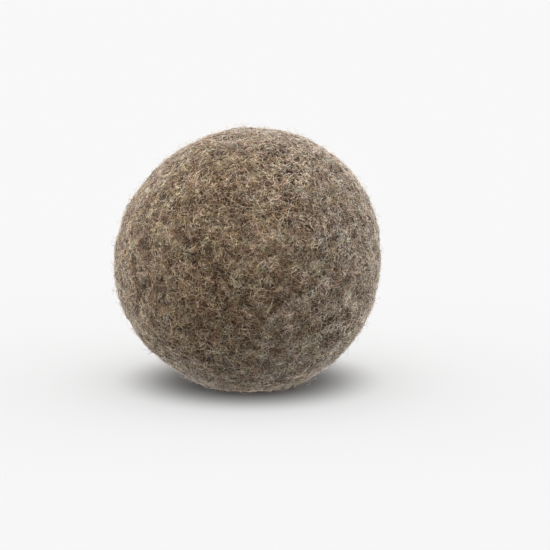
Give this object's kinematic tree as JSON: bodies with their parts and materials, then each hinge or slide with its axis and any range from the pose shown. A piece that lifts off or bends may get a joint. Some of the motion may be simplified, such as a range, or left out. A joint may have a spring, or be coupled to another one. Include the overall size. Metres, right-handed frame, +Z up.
{
  "type": "felted wool dryer ball",
  "caption": "Round felted wool ball in heathered natural grey-brown, slightly flattened where it rests, made of wound and felted wool layers.",
  "frame": {"origin": "centre of the flattened spot that the ball rests on", "axes": "+Z up through the ball's centre; X and Y are alike outside, and the rolled tuft inside lies along X"},
  "size_m": [0.07, 0.07, 0.0675],
  "materials": {
    "tuft_wool": "matte",
    "yarn_wool": "matte",
    "batt_wool": "matte",
    "felt_wool": "matte"
  },
  "bodies": {
    "root": {"core_tuft": "tuft_wool", "yarn_core": "yarn_wool", "first_wrap": "batt_wool", "second_wrap": "batt_wool", "third_wrap": "batt_wool", "outer_felt": "felt_wool"}
  },
  "joints": []
}
